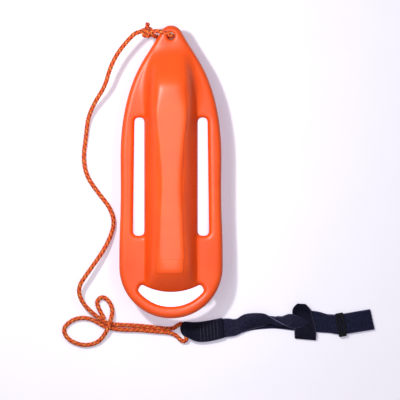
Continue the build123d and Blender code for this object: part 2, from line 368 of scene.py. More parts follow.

# %% [markdown]

# %% [markdown]
# ## Floor and light
# The float lies on a plain pale table, which a white sheet could stand for. The table
# glows a little, which keeps the shadows pale, and glows more brightly under the grips, a
# painted light that makes their shaded openings white. Only the camera sees that glow, so it
# doesn't wash out the float's darker lower edges. Under the nose eye the glow is left out.

# %% Floor with painted glow
FLOOR_HALF = 3.0
GLOW = 0.40  # of the table, in the open
GRIP_GLOW = 1.2  # and in its patches of painted glow under the grips
GLOW_FADE = 10 * MM
GLOW_BOX_MIDDLE = (0.0, -0.0875)  # a box of brighter painted glow, under the hand slots
GLOW_BOX_HALF = (0.095, 0.2275)
GLOW_DISC_MIDDLE = (0.0, -0.245)  # a disc of painted glow beside it, under the tail grip
GLOW_DISC_RADIUS = 0.106
GLOW_GAP_MIDDLE = (0.002, 0.334)  # the glow is left out in a disc under the nose eye, seen only through it, so real shade shows there
GLOW_GAP_RADIUS = 14 * MM

floor_form = bmesh.new()
bmesh.ops.create_grid(floor_form, x_segments=2, y_segments=2, size=FLOOR_HALF)
floor_mesh = bpy.data.meshes.new("studio_floor")
floor_form.to_mesh(floor_mesh)
floor_form.free()
studio_floor = bpy.data.objects.new("studio_floor", floor_mesh)
scene.collection.objects.link(studio_floor)
# the floor's material holds the camera-only glow, painted light that pales the shadows
paper, paper_tree, paper_shader = new_material(
    "floor_with_painted_glow", {"Roughness": 0.9, "Specular IOR Level": 0.1}
)
paper_fibre = add_node(paper_tree, "ShaderNodeTexNoise", {"Scale": 60.0, "Detail": 2.0})
paper_shade = add_node(
    paper_tree, "ShaderNodeValToRGB", links={"Fac": paper_fibre.outputs["Fac"]}
)
paper_shade.color_ramp.elements[0].color = linear("#DEDEE0")
paper_shade.color_ramp.elements[1].color = linear("#E2E2E4")
paper_shader.inputs["Emission Color"].default_value = linear("#E9E1FF")
paper_tree.links.new(paper_shade.outputs["Color"], paper_shader.inputs["Base Color"])
table_place = add_node(paper_tree, "ShaderNodeTexCoord")
table_middle = add_node(
    paper_tree,
    "ShaderNodeVectorMath",
    {"operation": "SUBTRACT", 1: (*GLOW_BOX_MIDDLE, 0)},
    {0: table_place.outputs["Object"]},
)
table_side = add_node(
    paper_tree,
    "ShaderNodeVectorMath",
    {"operation": "ABSOLUTE"},
    {0: table_middle.outputs["Vector"]},
)
table_past = add_node(
    paper_tree,
    "ShaderNodeVectorMath",
    {"operation": "SUBTRACT", 1: (*GLOW_BOX_HALF, 0)},
    {0: table_side.outputs["Vector"]},
)
table_axes = add_node(
    paper_tree, "ShaderNodeSeparateXYZ", links={0: table_past.outputs["Vector"]}
)
table_edge = add_node(
    paper_tree,
    "ShaderNodeMath",
    {"operation": "MAXIMUM"},
    {0: table_axes.outputs["X"], 1: table_axes.outputs["Y"]},
)
ring_distance = add_node(
    paper_tree,
    "ShaderNodeVectorMath",
    {"operation": "DISTANCE", 1: (*GLOW_DISC_MIDDLE, 0)},
    {0: table_place.outputs["Object"]},
)
ring_edge = add_node(
    paper_tree,
    "ShaderNodeMath",
    {"operation": "SUBTRACT", 1: GLOW_DISC_RADIUS},
    {0: ring_distance.outputs["Value"]},
)
# painted light: the brighter glow over the box and the disc under the grips
glow_patch_edge = add_node(
    paper_tree,
    "ShaderNodeMath",
    {"operation": "MINIMUM"},
    {0: table_edge.outputs["Value"], 1: ring_edge.outputs["Value"]},
)
table_glow = add_node(
    paper_tree,
    "ShaderNodeMapRange",
    {"From Min": -GLOW_FADE, "From Max": 0.0, "To Min": GRIP_GLOW, "To Max": GLOW},
    {"Value": glow_patch_edge.outputs["Value"]},
)
eye_distance = add_node(
    paper_tree,
    "ShaderNodeVectorMath",
    {"operation": "DISTANCE", 1: (*GLOW_GAP_MIDDLE, 0)},
    {0: table_place.outputs["Object"]},
)
# no painted glow in the small disc under the nose eye
glow_gap = add_node(
    paper_tree,
    "ShaderNodeMath",
    {"operation": "GREATER_THAN", 1: GLOW_GAP_RADIUS},
    {0: eye_distance.outputs["Value"]},
)
table_light = add_node(
    paper_tree,
    "ShaderNodeMath",
    {"operation": "MULTIPLY"},
    {0: table_glow.outputs["Result"], 1: glow_gap.outputs["Value"]},
)
seen_path = add_node(paper_tree, "ShaderNodeLightPath")
seen_light = add_node(
    paper_tree,
    "ShaderNodeMath",
    {"operation": "MULTIPLY"},
    {0: table_light.outputs["Value"], 1: seen_path.outputs["Is Camera Ray"]},
)
paper_tree.links.new(
    seen_light.outputs["Value"], paper_shader.inputs["Emission Strength"]
)
floor_mesh.materials.append(paper)
print("light table has", len(paper_tree.nodes), "nodes")

# %% [markdown]
# ## Lamps and room
# One soft lamp, high at the upper left, throws the shadows that show how far each piece
# stands off the table. A low strip light hangs over the float, so that its crown is brighter
# than its rim. The room is bright above and dim at the sides, and could be a picture of a
# real one, but a plain rise in brightness is enough. The standard view keeps the plastic's
# strong orange, which the filmic ones would wash out.

# %% Lamps
LIGHT_FALLS = Vector((0.457, -0.386, -1)).normalized()
LAMP_SIZE = 0.2
LAMP_AWAY = 2.4
LAMP_WATTS = 37.0
STRIP_PLACE = (-0.005, -0.02, 0.36)
STRIP_SIZE = (0.08, 0.75)
STRIP_WATTS = 0.6

lamp_data = bpy.data.lights.new("soft_lamp", "AREA")
lamp_data.shape = "DISK"
lamp_data.size = LAMP_SIZE
lamp_data.energy = LAMP_WATTS
lamp = bpy.data.objects.new("soft_lamp", lamp_data)
lamp.location = VIEW_CENTRE - LIGHT_FALLS * LAMP_AWAY
lamp.rotation_mode = "QUATERNION"
lamp.rotation_quaternion = LIGHT_FALLS.to_track_quat("-Z", "Y")
scene.collection.objects.link(lamp)

strip_data = bpy.data.lights.new("low_strip_light", "AREA")
strip_data.shape = "RECTANGLE"
strip_data.size, strip_data.size_y = STRIP_SIZE
strip_data.energy = STRIP_WATTS
strip_light = bpy.data.objects.new("low_strip_light", strip_data)
strip_light.location = STRIP_PLACE
strip_light.visible_camera = False
scene.collection.objects.link(strip_light)
print("lamp at", [round(value, 3) for value in lamp.location])

# %% Room
ROOM_DIM = 0.12  # strength of the light from the sides
ROOM_BRIGHT = 0.42  # and from above

world = bpy.data.worlds.new("pale_room")
world.use_nodes = True
room_tree = world.node_tree
room_place = add_node(room_tree, "ShaderNodeTexCoord")
room_up = add_node(room_tree, "ShaderNodeSeparateXYZ", links={0: room_place.outputs["Generated"]})
room_light = add_node(
    room_tree,
    "ShaderNodeMapRange",
    {"From Min": 0.0, "From Max": 0.9, "To Min": ROOM_DIM, "To Max": ROOM_BRIGHT},
    {"Value": room_up.outputs["Z"]},
)
room_tree.nodes["Background"].inputs["Color"].default_value = linear("#FFFDFA")
room_tree.links.new(room_light.outputs["Result"], room_tree.nodes["Background"].inputs["Strength"])
scene.world = world
scene.view_settings.view_transform = "Standard"
print("room lit from", ROOM_DIM, "to", ROOM_BRIGHT)

# %% [markdown]
# ## The hull's skin
# The real float is one rotationally moulded shell of polyethylene: plastic powder melts on
# the walls of a turning mould, so no edge on it is sharp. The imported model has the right
# sizes with crisp edges. Voxel remeshing a copy of it and relaxing the result rounds every
# edge and fills every valley alike, which lofting by hand would have to do one by one.

# %% Helpers for copied and finished meshes
def merged_copy(names):
    """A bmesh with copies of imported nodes, their loose triangles merged."""
    form = bmesh.new()
    for name in names:
        form.from_mesh(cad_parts[name].data)
    bmesh.ops.remove_doubles(form, verts=form.verts, dist=0.001 * MM)
    return form


def new_piece(name, form, material):
    """A piece with the mesh of a bmesh, shaded smooth."""
    mesh = bpy.data.meshes.new(name)
    form.to_mesh(mesh)
    form.free()
    mesh.materials.append(material)
    mesh.polygons.foreach_set("use_smooth", [True] * len(mesh.polygons))
    piece = bpy.data.objects.new(name, mesh)
    scene.collection.objects.link(piece)
    return piece


def apply_modifiers(piece):
    """Replace a piece's mesh by what its modifiers make of it."""
    bpy.context.view_layer.update()
    graph = bpy.context.evaluated_depsgraph_get()
    finished = bpy.data.meshes.new_from_object(piece.evaluated_get(graph))
    piece.modifiers.clear()
    piece.data = finished
    finished.polygons.foreach_set("use_smooth", [True] * len(finished.polygons))


print("mesh helpers ready")

# %% [markdown]
# ## Rotomoulded polyethylene
# The shell comes out of its mould with an even, waxy, half-matt skin that has a very faint
# orange-peel. Its colour is the plastic's own, so it hardly varies, and handling leaves it
# slightly duller and greyer in soft patches. The blank frame for a name plate on the top is
# part of the mould, so it is a raised line in the bump, worked out as a rounded rectangle.

# %% Hull material
PEEL_SIZE = 4 * MM  # a real peel is near 1 mm, drawn coarser so that it shows
PLATE_CENTRE = (-3.5 * MM, -233 * MM)
PLATE_HALF = (34 * MM, 18 * MM)
PLATE_CORNER = 6 * MM
PLATE_LINE = 1.6 * MM
PLATE_ABOVE = 0.1  # the frame is on the upper side only

hull_skin, hull_tree, hull_shader = new_material(
    "rotomoulded_polyethylene_orange",
    {
        "IOR": 1.5,
        "Specular IOR Level": 0.5,
        "Coat Weight": 0.12,
        "Coat Roughness": 0.3,
    },
)
hull_place = add_node(hull_tree, "ShaderNodeTexCoord")
hull_patches = add_node(
    hull_tree,
    "ShaderNodeTexNoise",
    {"Scale": 1 / (70 * MM), "Detail": 2.0, "Roughness": 0.5},
    {"Vector": hull_place.outputs["Object"]},
)
hull_colour = add_node(
    hull_tree, "ShaderNodeValToRGB", links={"Fac": hull_patches.outputs["Fac"]}
)
hull_colour.color_ramp.elements[0].position = 0.3
hull_colour.color_ramp.elements[0].color = linear("#F04C05")
hull_colour.color_ramp.elements[1].position = 0.7
hull_colour.color_ramp.elements[1].color = linear("#F8560C")
hull_peel = add_node(
    hull_tree,
    "ShaderNodeTexNoise",
    {"Scale": 1 / PEEL_SIZE, "Detail": 1.0},
    {"Vector": hull_place.outputs["Object"]},
)
hull_rough = add_node(
    hull_tree,
    "ShaderNodeMapRange",
    {"To Min": 0.36, "To Max": 0.48},
    {"Value": hull_patches.outputs["Fac"]},
)

# distance to the outline of the name plate's frame
plate_offset = add_node(
    hull_tree,
    "ShaderNodeVectorMath",
    {"operation": "SUBTRACT", 1: (*PLATE_CENTRE, 0)},
    {0: hull_place.outputs["Object"]},
)
plate_fold = add_node(
    hull_tree,
    "ShaderNodeVectorMath",
    {"operation": "ABSOLUTE"},
    {0: plate_offset.outputs["Vector"]},
)
plate_beyond = add_node(
    hull_tree,
    "ShaderNodeVectorMath",
    {
        "operation": "SUBTRACT",
        1: (PLATE_HALF[0] - PLATE_CORNER, PLATE_HALF[1] - PLATE_CORNER, 1),
    },
    {0: plate_fold.outputs["Vector"]},
)
plate_clamped = add_node(
    hull_tree,
    "ShaderNodeVectorMath",
    {"operation": "MAXIMUM", 1: (0, 0, 0)},
    {0: plate_beyond.outputs["Vector"]},
)
plate_reach = add_node(
    hull_tree,
    "ShaderNodeVectorMath",
    {"operation": "LENGTH"},
    {0: plate_clamped.outputs["Vector"]},
)
plate_step = add_node(
    hull_tree,
    "ShaderNodeMapRange",
    {
        "interpolation_type": "SMOOTHSTEP",
        "From Min": PLATE_CORNER - PLATE_LINE / 2,
        "From Max": PLATE_CORNER + PLATE_LINE / 2,
        "To Min": 1.0,
        "To Max": 0.0,
    },
    {"Value": plate_reach.outputs["Value"]},
)
plate_edge = add_node(
    hull_tree,
    "ShaderNodeMath",
    {"operation": "COMPARE", 1: PLATE_CORNER, 2: PLATE_LINE / 2},
    {0: plate_reach.outputs["Value"]},
)
hull_up = add_node(hull_tree, "ShaderNodeSeparateXYZ", links={0: hull_place.outputs["Object"]})
plate_top = add_node(
    hull_tree,
    "ShaderNodeMath",
    {"operation": "GREATER_THAN", 1: PLATE_ABOVE},
    {0: hull_up.outputs["Z"]},
)
plate_height = add_node(
    hull_tree,
    "ShaderNodeMath",
    {"operation": "MULTIPLY"},
    {0: plate_step.outputs["Result"], 1: plate_top.outputs["Value"]},
)
plate_rim = add_node(
    hull_tree,
    "ShaderNodeMath",
    {"operation": "MULTIPLY"},
    {0: plate_edge.outputs["Value"], 1: plate_top.outputs["Value"]},
)
# painted shade: the frame's line is also darkened towards a deeper orange in the base colour
plate_shadow = add_node(
    hull_tree,
    "ShaderNodeMath",
    {"operation": "MULTIPLY", 1: 0.35},
    {0: plate_rim.outputs["Value"]},
)
hull_shade = add_node(
    hull_tree,
    "ShaderNodeMix",
    {"data_type": "RGBA", 7: linear("#C23A06")},
    {0: plate_shadow.outputs["Value"], 6: hull_colour.outputs["Color"]},
)
plate_bump = add_node(
    hull_tree,
    "ShaderNodeBump",
    {"Strength": 1.0, "Distance": 0.8 * MM},
    {"Height": plate_height.outputs["Value"]},
)
hull_bump = add_node(
    hull_tree,
    "ShaderNodeBump",
    {"Strength": 0.35, "Distance": 0.12 * MM},
    {"Height": hull_peel.outputs["Fac"], "Normal": plate_bump.outputs["Normal"]},
)
hull_tree.links.new(hull_shade.outputs[2], hull_shader.inputs["Base Color"])
hull_tree.links.new(hull_rough.outputs["Result"], hull_shader.inputs["Roughness"])
hull_tree.links.new(hull_bump.outputs["Normal"], hull_shader.inputs["Normal"])
print("hull material has", len(hull_tree.nodes), "nodes")

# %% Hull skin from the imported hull
MID = 68 * MM  # height of the rim's middle plane
VOXEL = 2.6 * MM
RIM_RELAXING = 12  # passes; each rounds the edges by a little more
BARREL_RELAXING = 36
END_RELAXING = 260
REGAIN = 0.5 * MM  # what relaxing takes off the round rim
RIM_REACH = 15 * MM  # the barrel stands out of the rim above and below this

hull_form = merged_copy(["hull_shell", "fill_plug", "vent_plug"])
hull_body = new_piece("hull_skin", hull_form, hull_skin)
fuse = hull_body.modifiers.new("fuse", "REMESH")
fuse.mode = "VOXEL"
fuse.voxel_size = VOXEL
fuse.adaptivity = 0.0
apply_modifiers(hull_body)
print("hull skin has", len(hull_body.data.polygons), "faces")

# %% [markdown]
# ## How soft each part of the skin is
# The rim is a tight tube, the barrel's shoulders are softer, and its two ends melt into the
# rim in one long curve. Three relaxing passes do that. A vertex group says how strongly each
# pass works at a point: not at all on the rim, and fully towards the nose and the tail.


# %% Relax the skin
def ramp(value, start, end):
    """A smooth rise from 0 at start to 1 at end."""
    share = min(1, max(0, (value - start) / (end - start)))
    return share * share * (3 - 2 * share)


NOSE_SOFT = (140, 215)  # mm along the float, where the ends' softness starts and is full
TAIL_SOFT = (-200, -245)
TAIL_KEEP = (-293, -283)  # and where it ends, so that the grip's opening stays sharp
FLANK = [(92, 121.8), (177, 107.5), (275, 68), (320, 38), (345, 20)]  # (place, half width)
EYE_PLACE = Vector((0, 334))
EYE_KEEP = (15, 26)  # from the eye's middle
RIM_KEEP = (13, 24)  # from the rim's edge inwards
RIM_RISE = 6  # over which the barrel's softness sets in, above the rim


def flank_half(place):
    """Half width of the nose at a place along the float, in mm."""
    for (a, wide_a), (b, wide_b) in zip(FLANK, FLANK[1:]):
        if place <= b:
            return wide_a + (wide_b - wide_a) * max(0, (place - a) / (b - a))
    return 0


barrel_group = hull_body.vertex_groups.new(name="barrel")
ends_group = hull_body.vertex_groups.new(name="ends")
for vertex in hull_body.data.vertices:
    x, y, z = vertex.co / MM
    off_rim = ramp(abs(z - MID / MM), RIM_REACH / MM, RIM_REACH / MM + RIM_RISE)
    inland = ramp(flank_half(y) - abs(x), *RIM_KEEP)
    off_eye = ramp((Vector((x, y)) - EYE_PLACE).length, *EYE_KEEP)
    nose = ramp(y, *NOSE_SOFT) * inland * off_eye
    tail = ramp(-y, -TAIL_SOFT[0], -TAIL_SOFT[1]) * ramp(y, *TAIL_KEEP) * off_rim
    barrel_group.add([vertex.index], off_rim, "REPLACE")
    ends_group.add([vertex.index], max(nose, tail), "REPLACE")
for label, passes, group in (
    ("rim", RIM_RELAXING, ""),
    ("barrel", BARREL_RELAXING, "barrel"),
    ("ends", END_RELAXING, "ends"),
):
    relax = hull_body.modifiers.new(label, "SMOOTH")
    relax.factor = 0.5
    relax.iterations = passes
    relax.vertex_group = group
regain = hull_body.modifiers.new("regain", "DISPLACE")
regain.strength = REGAIN
regain.mid_level = 0.0
apply_modifiers(hull_body)
hull_body.vertex_groups.clear()
print("hull skin relaxed")

# %% [markdown]
# ## The crown's edge and the beds of the plugs
# A soft groove runs down each side of the flat crown, where the mould's two slopes meet.
# It is pressed in by moving the skin's points, with the depth fading over a few
# millimetres. The two plugs on the underside sit in shallow round beds, cut out by a
# boolean with a short cylinder for each.

# %% Press the grooves
# (place, half width)
CROWN = [(-246, 34), (-150, 29), (-37, 24), (50, 29), (140, 38), (214, 34)]
GROOVE_OUT = 4.0  # the groove lies this far outside the crown's flat
GROOVE_WIDTH = 3.6
GROOVE_DEPTH = 1.5
GROOVE_FADE = 25  # length over which each end runs out
GROOVE_RISE = 46  # the grooves lie this high above the middle plane, and as far below it
PRESSED = 0.05  # a point that moved by more than this is counted


def crown_half(place):
    """Half width of the flat crown at a place along the float, in mm."""
    for (a, wide_a), (b, wide_b) in zip(CROWN, CROWN[1:]):
        if a <= place <= b:
            share = (place - a) / (b - a)
            return wide_a + (wide_b - wide_a) * (share * share * (3 - 2 * share))
    return None


groove_form = bmesh.new()
groove_form.from_mesh(hull_body.data)
groove_form.normal_update()
pressed = 0
for vertex in groove_form.verts:
    x, y, z = vertex.co / MM
    half = crown_half(y)
    if half is None or abs(z - MID / MM) < GROOVE_RISE:
        continue
    away = (abs(x) - half - GROOVE_OUT) / GROOVE_WIDTH
    ends = min(1, (y - CROWN[0][0]) / GROOVE_FADE, (CROWN[-1][0] - y) / GROOVE_FADE)
    depth = GROOVE_DEPTH * math.exp(-away * away) * ends
    vertex.co -= vertex.normal * depth * MM
    pressed += depth > PRESSED
groove_form.to_mesh(hull_body.data)
groove_form.free()
print("groove moved", pressed, "points")

# %% Cut the plugs' beds
PLUG_HEADS = {"fill_plug": 14.15 * MM, "vent_plug": 8.15 * MM}
HEAD_BED = 2.6 * MM

for plug, radius in PLUG_HEADS.items():
    low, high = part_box(plug)
    bed_form = bmesh.new()
    bmesh.ops.create_cone(
        bed_form,
        cap_ends=True,
        segments=64,
        radius1=radius,
        radius2=radius,
        depth=2 * HEAD_BED,
        matrix=Matrix.Translation(((low.x + high.x) / 2, (low.y + high.y) / 2, 0)),
    )
    bed_cutter = new_piece(plug + "_bed", bed_form, hull_skin)
    bed = hull_body.modifiers.new("bed", "BOOLEAN")
    bed.operation = "DIFFERENCE"
    bed.solver = "EXACT"
    bed.object = bed_cutter
    apply_modifiers(hull_body)
    bpy.data.objects.remove(bed_cutter)
print("hull skin has", len(hull_body.data.polygons), "faces after its beds are cut")
hand_over(hull_body, "hull_shell", "hull")

# %% [markdown]
# ## Plugs and foam
# A moulded hull has a plug where it was filled with foam and a small one where air got
# out, both on the underside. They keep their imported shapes. The plugs are the same plastic
# turned on a lathe, so they are glossier, with fine rings, and the foam shows closed cells.
# The foam fills the skin, so it is a copy of the skin moved in by the wall's thickness.

# %% Plug and foam materials
PLUG_RING = 1.5 * MM  # a real tool mark is near 0.2 mm, drawn coarser so that it shows
FOAM_CELL = 2.5 * MM

plug_plastic, plug_tree, plug_shader = new_material(
    "turned_polyethylene_orange", {"IOR": 1.5, "Roughness": 0.35}
)
plug_place = add_node(plug_tree, "ShaderNodeTexCoord")
plug_rings = add_node(
    plug_tree,
    "ShaderNodeTexWave",
    {
        "wave_type": "RINGS",
        "rings_direction": "Z",
        "Scale": 0.314 / PLUG_RING,
        "Distortion": 0.4,
    },
    {"Vector": plug_place.outputs["Object"]},
)
plug_colour = add_node(
    plug_tree, "ShaderNodeValToRGB", links={"Fac": plug_rings.outputs["Fac"]}
)
plug_colour.color_ramp.elements[0].color = linear("#E8480F")
plug_colour.color_ramp.elements[1].color = linear("#F45A1E")
plug_bump = add_node(
    plug_tree,
    "ShaderNodeBump",
    {"Strength": 0.4, "Distance": 0.1 * MM},
    {"Height": plug_rings.outputs["Fac"]},
)
plug_tree.links.new(plug_colour.outputs["Color"], plug_shader.inputs["Base Color"])
plug_tree.links.new(plug_bump.outputs["Normal"], plug_shader.inputs["Normal"])

foam, foam_tree, foam_shader = new_material(
    "closed_cell_polyurethane_foam", {"IOR": 1.45, "Roughness": 0.85}
)
foam_place = add_node(foam_tree, "ShaderNodeTexCoord")
foam_cells = add_node(
    foam_tree,
    "ShaderNodeTexVoronoi",
    {"Scale": 1 / FOAM_CELL},
    {"Vector": foam_place.outputs["Object"]},
)
foam_colour = add_node(
    foam_tree, "ShaderNodeValToRGB", links={"Fac": foam_cells.outputs["Distance"]}
)
foam_colour.color_ramp.elements[0].color = linear("#F3EBD6")
foam_colour.color_ramp.elements[1].color = linear("#DCCFAE")
foam_bump = add_node(
    foam_tree,
    "ShaderNodeBump",
    {"Strength": 0.6, "Distance": 0.5 * MM},
    {"Height": foam_cells.outputs["Distance"]},
)
foam_tree.links.new(foam_colour.outputs["Color"], foam_shader.inputs["Base Color"])
foam_tree.links.new(foam_bump.outputs["Normal"], foam_shader.inputs["Normal"])


def finish_node(name, material):
    """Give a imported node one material."""
    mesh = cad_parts[name].data
    mesh.materials.clear()
    mesh.materials.append(material)
    print(name, "is finished in", material.name)


finish_node("fill_plug", plug_plastic)
finish_node("vent_plug", plug_plastic)

# %% Foam inside the skin
WALL = 4 * MM

foam_filling = bpy.data.objects.new("foam_filling", hull_body.data.copy())
scene.collection.objects.link(foam_filling)
foam_filling.data.name = "foam_filling"
foam_filling.data.materials.clear()
foam_filling.data.materials.append(foam)
shrink = foam_filling.modifiers.new("shrink", "DISPLACE")
shrink.strength = -WALL
shrink.mid_level = 0.0
apply_modifiers(foam_filling)
hand_over(foam_filling, "foam_core", "hull")
print("foam has", len(foam_filling.data.polygons), "faces")

# %% [markdown]
# ## Woven polyester webbing
# The strap is 50 mm flat webbing, woven in a fine chevron. Its navy filament yarn has a
# soft sheen, and a painted highlight lightens its two edges. The weave follows the
# strap round its twists, so the pattern reads the strip's own map, laid out in metres along
# and across. Three shades of it part the lengths: the flat navy, a lighter copy with painted
# light for the raised upper leg, and a darker copy with painted shade for the folded end eye
# and keeper.

# %% Webbing material
WEB_WIDTH = 50 * MM
WEB_PITCH = 3.2 * MM  # real ribs are near 1.2 mm apart, drawn coarser so that they show
WEB_EDGE = 3.0 * MM
YARN_PATCH = 6 * MM
CHEVRONS = 4  # across the width


def webbing(name, light, dark, edge):
    """Ribbed webbing between two shades, with a painted highlight along both edges."""
    cloth, web_tree, web_shader = new_material(
        name,
        {"IOR": 1.5, "Sheen Weight": 0.03, "Sheen Roughness": 0.4, "Specular IOR Level": 0.12},
    )
    web_map = add_node(web_tree, "ShaderNodeUVMap", {"uv_map": "weave"})
    web_axes = add_node(web_tree, "ShaderNodeSeparateXYZ", links={0: web_map.outputs["UV"]})
    web_fold = add_node(
        web_tree,
        "ShaderNodeMath",
        {"operation": "PINGPONG", 1: WEB_WIDTH / (2 * CHEVRONS)},
        {0: web_axes.outputs["Y"]},
    )
    web_lean = add_node(
        web_tree,
        "ShaderNodeMath",
        {"operation": "ADD"},
        {0: web_axes.outputs["X"], 1: web_fold.outputs["Value"]},
    )
    web_turn = add_node(
        web_tree,
        "ShaderNodeMath",
        {"operation": "MULTIPLY", 1: 2 * math.pi / WEB_PITCH},
        {0: web_lean.outputs["Value"]},
    )
    web_rib = add_node(
        web_tree, "ShaderNodeMath", {"operation": "SINE"}, {0: web_turn.outputs["Value"]}
    )
    web_yarn = add_node(
        web_tree,
        "ShaderNodeTexNoise",
        {"Scale": 1 / YARN_PATCH, "Detail": 4.0, "Roughness": 0.65},
        {"Vector": web_map.outputs["UV"]},
    )
    web_height = add_node(
        web_tree,
        "ShaderNodeMath",
        {"operation": "MULTIPLY_ADD", 1: 0.25, 2: 0.5},
        {0: web_rib.outputs["Value"]},
    )
    web_mix = add_node(
        web_tree,
        "ShaderNodeMix",
        {"Factor": 0.6},
        {"A": web_height.outputs["Value"], "B": web_yarn.outputs["Fac"]},
    )
    web_colour = add_node(
        web_tree, "ShaderNodeValToRGB", links={"Fac": web_mix.outputs["Result"]}
    )
    web_colour.color_ramp.elements[0].position = 0.36
    web_colour.color_ramp.elements[0].color = linear(dark)
    web_colour.color_ramp.elements[1].position = 0.72
    web_colour.color_ramp.elements[1].color = linear(light)
    web_side = add_node(
        web_tree,
        "ShaderNodeMath",
        {"operation": "PINGPONG", 1: WEB_WIDTH / 2},
        {0: web_axes.outputs["Y"]},
    )
    # painted highlight: both edges of the webbing are lightened towards the edge colour
    web_edge_highlight = add_node(
        web_tree,
        "ShaderNodeMapRange",
        {"From Max": WEB_EDGE, "To Min": 0.9, "To Max": 0.0},
        {"Value": web_side.outputs["Value"]},
    )
    web_tone = add_node(
        web_tree,
        "ShaderNodeMix",
        {"data_type": "RGBA", 7: linear(edge)},
        {0: web_edge_highlight.outputs["Result"], 6: web_colour.outputs["Color"]},
    )
    web_bump = add_node(
        web_tree,
        "ShaderNodeBump",
        {"Strength": 0.9, "Distance": 0.7 * MM},
        {"Height": web_mix.outputs["Result"]},
    )
    web_rough = add_node(
        web_tree,
        "ShaderNodeMapRange",
        {"To Min": 0.5, "To Max": 0.75},
        {"Value": web_yarn.outputs["Fac"]},
    )
    web_tree.links.new(web_tone.outputs[2], web_shader.inputs["Base Color"])
    web_tree.links.new(web_bump.outputs["Normal"], web_shader.inputs["Normal"])
    web_tree.links.new(web_rough.outputs["Result"], web_shader.inputs["Roughness"])
    return cloth


flat_webbing = webbing("polyester_webbing_navy", "#24284E", "#04040F", "#44446C")
# a lighter copy of the navy: painted light on the raised upper leg
lit_webbing = webbing("polyester_webbing_painted_light", "#2E2E50", "#070716", "#6A6A8E")
# a darker copy: painted shade on the folded end eye and the keeper
shaded_webbing = webbing("polyester_webbing_painted_shade", "#1A1A38", "#020209", "#44445E")
print("webbing has", len(flat_webbing.node_tree.nodes), "nodes")

# %% [markdown]
# ## Strips of webbing
# A strap is one flat strip that lies, rises, twists and folds. Each row of a strip says
# where its two edges are and a point that the cloth between them leans to, in millimetres.
# A grid bends to the rows, and solidify and subdivision give it thickness and soft folds.

# %% Strip helper
WEB_THICK = 2.2 * MM
ACROSS = 8  # faces from edge to edge


def strip(name, node, rows, material):
    """A strip of webbing through rows of an edge, a leaning point and the other edge."""
    form = bmesh.new()
    weave = form.loops.layers.uv.new("weave")
    bmesh.ops.create_grid(form, x_segments=len(rows) - 1, y_segments=ACROSS, size=0.5)
    curved = []
    for edge, lean, far_edge in rows:
        curved.append([Vector(edge) * MM, Vector(lean) * MM, Vector(far_edge) * MM])
    middles = [edge * 0.25 + lean * 0.5 + far_edge * 0.25 for edge, lean, far_edge in curved]
    along = [0.0]
    for before, after in zip(middles, middles[1:]):
        along.append(along[-1] + (after - before).length)
    spots = {}
    for vertex in form.verts:
        row = round((vertex.co.x + 0.5) * (len(rows) - 1))
        share = vertex.co.y + 0.5
        spots[vertex] = (along[row], share * WEB_WIDTH)
        edge, lean, far_edge = curved[row]
        vertex.co = (
            edge * (1 - share) ** 2 + lean * 2 * share * (1 - share) + far_edge * share**2
        )
    for face in form.faces:
        for loop in face.loops:
            loop[weave].uv = spots[loop.vert]
    piece = new_piece(name, form, material)
    thick = piece.modifiers.new("thick", "SOLIDIFY")
    thick.thickness = WEB_THICK
    thick.offset = 0.0
    soft = piece.modifiers.new("soft", "SUBSURF")
    soft.levels = 2
    soft.render_levels = 2
    apply_modifiers(piece)
    hand_over(piece, node, "strap")
    print(name, "is", round(along[-1], 3), "m long with", len(piece.data.polygons), "faces")
    return piece, along[-1]


def flat_row(edge, far_edge, lift=0.0):
    """A row with no more than a slight crown between its edges."""
    lean = [(a + b) / 2 for a, b in zip(edge, far_edge)]
    lean[2] += lift
    return edge, tuple(lean), far_edge


# %% [markdown]
# ## The strap's upper leg
# The upper leg leaves the sewn end, rises in a soft hump, gives half a twist and narrows to
# a tip that lies on the keeper. Cloth simulation could fold it, but it would not stop in
# this one lie, so its rows are given one by one.

# %% Upper leg
UPPER_LEG = [
    flat_row((62, -372, 7), (62, -412, 7)),
    flat_row((100, -366, 7), (104, -413, 7)),
    flat_row((126, -360, 7), (131, -408, 7)),
    flat_row((143, -359, 6), (146, -406, 7), 1),
    flat_row((156, -363, 5.4), (157, -404.5, 7), -1),
    flat_row((164, -360, 6), (166, -401, 6), -2),
    ((174, -351.5, 11), (175, -368, 16), (175, -396, 5.4)),
    ((190, -346.8, 18), (190, -362, 26), (191, -389, 5)),
    ((211, -346.4, 21), (212, -360, 29), (213, -383, 6)),
    ((229, -347, 20), (231, -360, 27), (233, -380, 6)),
    ((241, -353, 18), (244, -385, 19), (247, -368, 4)),
    ((254, -361, 17), (256, -399, 8), (257, -352, 4)),
    ((268, -369, 17), (268, -396, 4), (269, -355, 4.5)),
    ((281, -377, 15), (281, -386, 5), (277, -353.5, 7)),
    ((293, -384.5, 11), (292, -368, 16), (288, -348, 12)),
    ((306, -386, 9.6), (304, -366, 18), (300, -349, 12)),
    ((320, -383, 9.6), (319, -368, 14), (316, -357, 11)),
    ((334, -377.5, 9.4), (334, -370, 12), (331, -365, 10.5)),
    ((343, -373.5, 8.8), (343, -371, 10), (342, -369, 9)),
]
upper_leg, upper_length = strip("strap_upper_leg", "shoulder_strap", UPPER_LEG, lit_webbing)

# %% [markdown]
# ## The strap's lower leg
# The lower leg lies on the floor under the upper one, passes the keeper, and goes on
# through the slider. At the far end it folds and comes back under itself.

